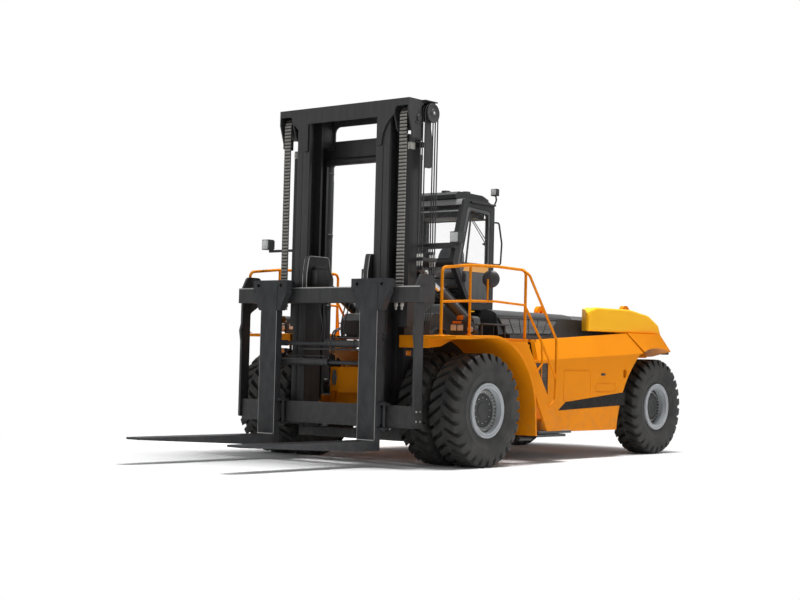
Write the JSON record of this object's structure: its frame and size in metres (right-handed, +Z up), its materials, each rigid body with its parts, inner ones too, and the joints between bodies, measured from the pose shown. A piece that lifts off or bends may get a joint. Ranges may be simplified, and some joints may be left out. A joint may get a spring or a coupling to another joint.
{
  "type": "heavy electric forklift",
  "caption": "Large battery forklift: twin drive tyres, rear steering, two-stage mast with tilt, lift and sliding forks, cab with doors, stairs and railings.",
  "frame": {"origin": "on the ground under the middle of the whole truck's bounding box", "axes": "+X forward towards the fork tips, +Y to the truck's left, +Z up"},
  "size_m": [10.5, 4.31, 5.3],
  "materials": {
    "yellow_paint": "gloss orange-yellow enamel",
    "black_paint": "satin black paint",
    "charcoal_paint": "textured dark grey paint",
    "rim_paint": "satin silver-grey paint",
    "tyre_rubber": "black tyre rubber",
    "chain_steel": "oiled steel",
    "rod_chrome": "hard chrome",
    "cab_glazing": "lightly tinted safety glass",
    "seat_fabric": "grey woven fabric",
    "black_plastic": "moulded black plastic",
    "foot_rubber": "black rubber",
    "battery_case": "plain steel case",
    "hose_rubber": "black hydraulic hose"
  },
  "bodies": {
    "chassis": {"battery_block": "battery_case", "belly_plate": "black_paint", "bottom_steps": "black_paint", "cab_feet": "foot_rubber", "cab_frame": "charcoal_paint", "cab_glass": "cab_glazing", "cab_pedestal": "black_paint", "chassis_lamps": "black_paint", "counterweight": "yellow_paint", "drive_axle": "black_paint", "fender_left": "yellow_paint", "fender_right": "yellow_paint", "grilles": "black_paint", "hood": "black_paint", "lifting_lugs": "yellow_paint", "main_frame": "yellow_paint", "mirrors": "black_paint", "pods": "yellow_paint", "railings": "yellow_paint", "roof_unit": "charcoal_paint", "seat": "seat_fabric", "side_panel_left": "yellow_paint", "side_panel_right": "yellow_paint", "stairs": "yellow_paint", "steer_axle": "black_paint", "steering_column": "black_plastic", "tail_block": "black_paint", "tilt_feet": "black_paint", "top_deck": "black_paint"},
    "drive_wheel_left": {"drive_tyres_left": "tyre_rubber", "drive_rims_left": "rim_paint"},
    "drive_wheel_right": {"drive_tyres_right": "tyre_rubber", "drive_rims_right": "rim_paint"},
    "knuckle_left": {"steer_knuckle_left": "black_paint"},
    "knuckle_right": {"steer_knuckle_right": "black_paint"},
    "steer_wheel_left": {"steer_tyre_left": "tyre_rubber", "steer_rim_left": "rim_paint"},
    "steer_wheel_right": {"steer_tyre_right": "tyre_rubber", "steer_rim_right": "rim_paint"},
    "tilt_barrel_left": {"tilt_barrel_left": "black_paint"},
    "tilt_barrel_right": {"tilt_barrel_right": "black_paint"},
    "tilt_rod_left": {"tilt_rod_left": "rod_chrome"},
    "tilt_rod_right": {"tilt_rod_right": "rod_chrome"},
    "outer_mast": {"outer_mast": "black_paint", "lift_cylinders": "black_paint", "mast_lamps": "black_paint"},
    "inner_mast": {"inner_mast": "black_paint", "lift_rods": "rod_chrome", "chain_sheaves": "black_paint", "chains_front": "chain_steel", "chains_rear": "chain_steel", "mast_hoses": "hose_rubber"},
    "carriage": {"carriage": "black_paint"},
    "fork_left": {"fork_left": "black_paint"},
    "fork_right": {"fork_right": "black_paint"},
    "cab_door_left": {"cab_door_left": "charcoal_paint", "door_glass_left": "cab_glazing"},
    "cab_door_right": {"cab_door_right": "charcoal_paint", "door_glass_right": "cab_glazing"}
  },
  "joints": [
    {"name": "drive_spin_left", "type": "hinge", "parent": "chassis", "child": "drive_wheel_left", "pos_m": [1.31, 1.62, 0.822], "axis": [0, 1, 0], "continuous": true},
    {"name": "steer_left", "type": "hinge", "parent": "chassis", "child": "knuckle_left", "pos_m": [-4.407, 1, 0.822], "axis": [0, 0, 1], "range_deg": [-65, 65]},
    {"name": "steer_spin_left", "type": "hinge", "parent": "knuckle_left", "child": "steer_wheel_left", "pos_m": [-4.407, 1.395, 0.822], "axis": [0, 1, 0], "continuous": true},
    {"name": "door_left", "type": "hinge", "parent": "chassis", "child": "cab_door_left", "pos_m": [-0.55, 0.75, 2.448], "axis": [0, 0, 1], "range_deg": [0, 80]},
    {"name": "tilt_barrel_swing_left", "type": "hinge", "parent": "chassis", "child": "tilt_barrel_left", "pos_m": [0.25, 1.03, 2.06], "axis": [0, 1, 0], "range_deg": [-6.5, 4.5]},
    {"name": "tilt_rod_slide_left", "type": "slide", "parent": "tilt_barrel_left", "child": "tilt_rod_left", "axis": [0.8593, 0, 0.5115], "range_m": [-0.335, 0.2]},
    {"name": "fork_shift_left", "type": "slide", "parent": "carriage", "child": "fork_left", "axis": [0, 1, 0], "range_m": [-0.6, 0.35]},
    {"name": "drive_spin_right", "type": "hinge", "parent": "chassis", "child": "drive_wheel_right", "pos_m": [1.31, -1.62, 0.822], "axis": [0, 1, 0], "continuous": true},
    {"name": "steer_right", "type": "hinge", "parent": "chassis", "child": "knuckle_right", "pos_m": [-4.407, -1, 0.822], "axis": [0, 0, 1], "range_deg": [-65, 65]},
    {"name": "steer_spin_right", "type": "hinge", "parent": "knuckle_right", "child": "steer_wheel_right", "pos_m": [-4.407, -1.395, 0.822], "axis": [0, 1, 0], "continuous": true},
    {"name": "door_right", "type": "hinge", "parent": "chassis", "child": "cab_door_right", "pos_m": [-0.55, -0.75, 2.448], "axis": [0, 0, -1], "range_deg": [0, 80]},
    {"name": "tilt_barrel_swing_right", "type": "hinge", "parent": "chassis", "child": "tilt_barrel_right", "pos_m": [0.25, -1.03, 2.06], "axis": [0, 1, 0], "range_deg": [-6.5, 4.5]},
    {"name": "tilt_rod_slide_right", "type": "slide", "parent": "tilt_barrel_right", "child": "tilt_rod_right", "axis": [0.8593, 0, 0.5115], "range_m": [-0.335, 0.2]},
    {"name": "fork_shift_right", "type": "slide", "parent": "carriage", "child": "fork_right", "axis": [0, -1, 0], "range_m": [-0.6, 0.35]},
    {"name": "mast_tilt", "type": "hinge", "parent": "chassis", "child": "outer_mast", "pos_m": [1.76, 0, 0.8], "axis": [0, 1, 0], "range_deg": [-10, 6]},
    {"name": "inner_lift", "type": "slide", "parent": "outer_mast", "child": "inner_mast", "axis": [0, 0, 1], "range_m": [-0.11, 1.98], "deforming": ["chains_rear", "mast_hoses"]},
    {"name": "carriage_lift", "type": "slide", "parent": "inner_mast", "child": "carriage", "axis": [0, 0, 1], "range_m": [-0.11, 1.98], "deforming": ["chains_front"]}
  ],
  "couplings": [
    {"joint": "carriage_lift", "follows": "inner_lift", "ratio": 1},
    {"joint": "steer_right", "follows": "steer_left", "ratio": 1},
    {"joint": "tilt_barrel_swing_left", "follows": "mast_tilt", "ratio": 0.55463},
    {"joint": "tilt_rod_slide_left", "follows": "mast_tilt", "m_per_rad": 1.8551},
    {"joint": "tilt_barrel_swing_right", "follows": "mast_tilt", "ratio": 0.55463},
    {"joint": "tilt_rod_slide_right", "follows": "mast_tilt", "m_per_rad": 1.8551}
  ]
}
